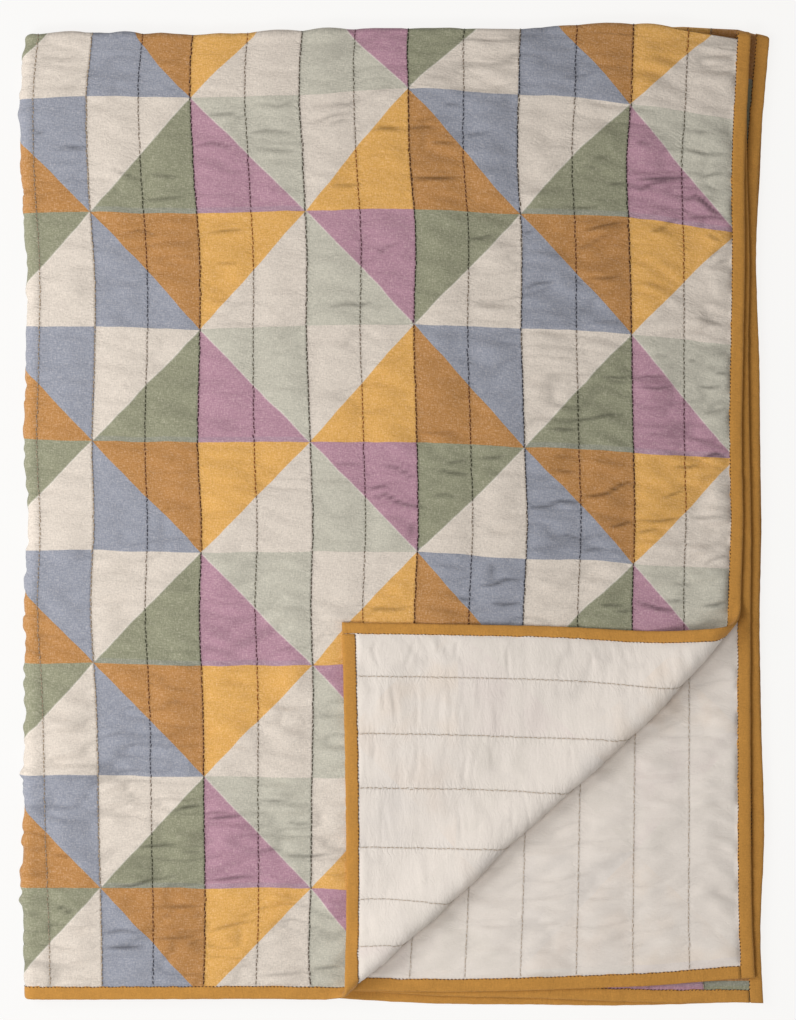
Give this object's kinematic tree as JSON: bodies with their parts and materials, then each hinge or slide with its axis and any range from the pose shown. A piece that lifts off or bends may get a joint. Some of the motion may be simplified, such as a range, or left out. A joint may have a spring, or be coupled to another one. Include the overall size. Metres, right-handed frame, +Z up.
{
  "type": "patchwork print quilt",
  "caption": "Thin bound quilt with a patchwork print of triangles, folded in quarters into a flat pack with one corner turned back over a soft roll to show its plain back.",
  "frame": {"origin": "middle of the folded pack's footprint, at the surface that it lies on", "axes": "+X towards the open long edges, +Y towards the top fold, +Z up out of the surface"},
  "size_m": [0.694, 0.9104, 0.0405],
  "materials": {
    "quilt_cotton": "washed slubby cotton, matte, printed on one face with triangles in cream, mustard, brown, grey green, sage, mauve and grey blue, plain cream on the other",
    "binding_cotton": "plain mustard cotton, matte, a little creased"
  },
  "bodies": {
    "root": {"quilt": "quilt_cotton", "binding_side_right": "binding_cotton", "binding_side_left": "binding_cotton", "binding_end_outer": "binding_cotton", "binding_end_inner": "binding_cotton"}
  },
  "joints": []
}
